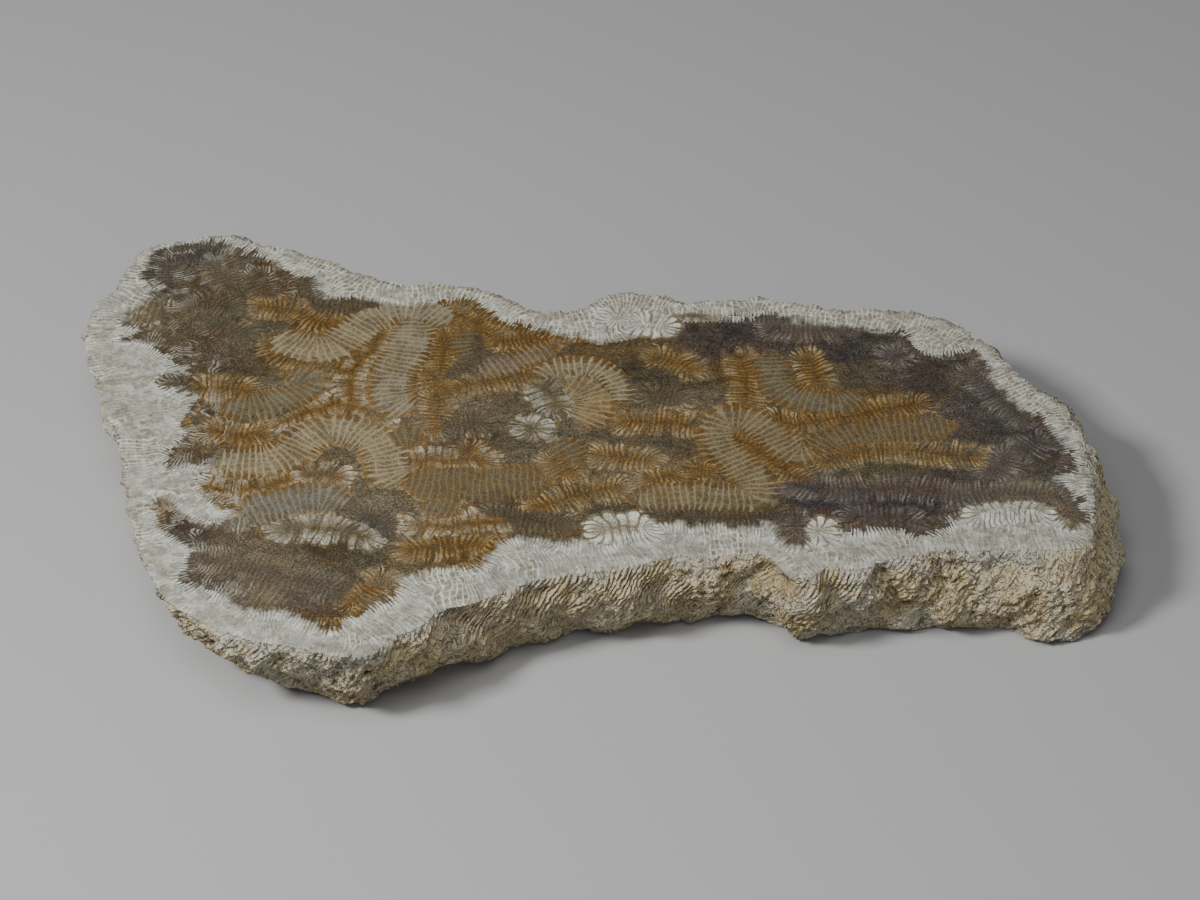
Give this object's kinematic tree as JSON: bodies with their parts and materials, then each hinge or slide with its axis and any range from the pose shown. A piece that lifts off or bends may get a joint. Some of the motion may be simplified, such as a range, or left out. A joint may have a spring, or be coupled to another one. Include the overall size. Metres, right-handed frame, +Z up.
{
  "type": "fossil brain coral slab",
  "caption": "Slab of fossil brain coral with a flat polished upper face, a flat sawn base to rest on and rough weathered sides.",
  "frame": {"origin": "centre of the overall bounding box in plan, on the flat sawn base", "axes": "+X along the slab's length towards its narrow end, +Y across it towards its hollow back edge, +Z up out of the polished face"},
  "size_m": [0.245, 0.1544, 0.024],
  "materials": {
    "coral_stone": "silicified coral stone: glossy polished upper face with brown, amber and grey coral pattern and a chalky white rim, matt cream weathered sides, matt sawn base"
  },
  "bodies": {
    "root": {"coral_slab": "coral_stone"}
  },
  "joints": []
}
